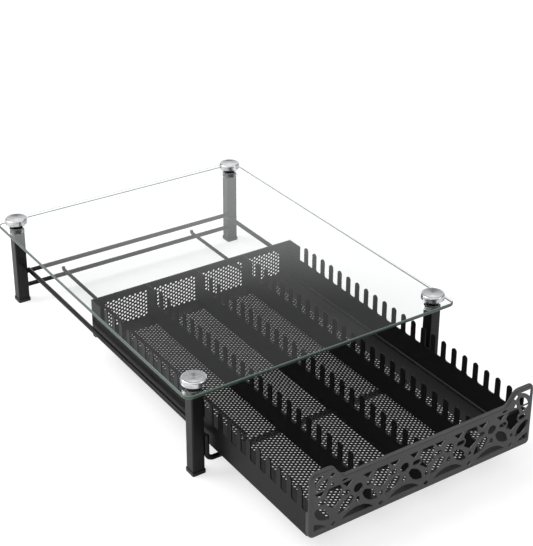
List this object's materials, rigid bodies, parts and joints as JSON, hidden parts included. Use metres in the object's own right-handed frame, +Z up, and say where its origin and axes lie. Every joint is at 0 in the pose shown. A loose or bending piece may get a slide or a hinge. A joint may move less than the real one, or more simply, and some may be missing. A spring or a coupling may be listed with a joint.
{
  "type": "coffee pod drawer",
  "caption": "Low stand with a glass top on square legs and wire rails, over a perforated metal tray whose comb-sided columns hold coffee pods and slide out at the front",
  "frame": {"origin": "Bottom centre of the whole object with the tray pulled out as at rest: on the table, in the middle of the width and of the overall length.", "axes": "+X to the right seen from the front, +Y from the tray's front panel to the back of the stand, +Z up. The tray slides along Y."},
  "size_m": [0.311, 0.562, 0.1028],
  "materials": {
    "glass": "clear tempered float glass with a polished, slightly green edge",
    "black_powder_coat": "satin black powder coat on steel tube and wire",
    "tray_powder_coat": "satin black powder coat on perforated sheet steel",
    "panel_powder_coat": "satin black powder coat on pierced sheet steel",
    "black_plastic": "matte moulded plastic",
    "black_rubber": "matte rubber",
    "zinc_steel": "zinc-plated threaded insert",
    "polished_chrome": "bright polished chrome"
  },
  "bodies": {
    "stand": {"glass_top": "glass", "leg_front_left": "black_powder_coat", "leg_front_right": "black_powder_coat", "leg_back_left": "black_powder_coat", "leg_back_right": "black_powder_coat", "foot_front_left": "black_plastic", "foot_front_right": "black_plastic", "foot_back_left": "black_plastic", "foot_back_right": "black_plastic", "insert_front_left": "zinc_steel", "insert_front_right": "zinc_steel", "insert_back_left": "zinc_steel", "insert_back_right": "zinc_steel", "gasket_front_left": "black_rubber", "gasket_front_right": "black_rubber", "gasket_back_left": "black_rubber", "gasket_back_right": "black_rubber", "washer_front_left": "black_rubber", "washer_front_right": "black_rubber", "washer_back_left": "black_rubber", "washer_back_right": "black_rubber", "cap_front_left": "polished_chrome", "cap_front_right": "polished_chrome", "cap_back_left": "polished_chrome", "cap_back_right": "polished_chrome", "upper_back_bar": "black_powder_coat", "lower_back_bar": "black_powder_coat", "side_rod_left": "black_powder_coat", "side_rod_right": "black_powder_coat", "front_wire": "black_powder_coat", "rail_left": "black_powder_coat", "rail_right": "black_powder_coat"},
    "tray": {"tray_floor": "tray_powder_coat", "left_comb": "tray_powder_coat", "right_comb": "tray_powder_coat", "divider_left": "tray_powder_coat", "divider_middle": "tray_powder_coat", "divider_right": "tray_powder_coat", "back_wall": "tray_powder_coat", "pod_stop_rod": "tray_powder_coat", "front_panel": "panel_powder_coat"}
  },
  "joints": [
    {"name": "tray_slide", "type": "slide", "parent": "stand", "child": "tray", "axis": [0, 1, 0], "range_m": [-0.035, 0.146]}
  ]
}
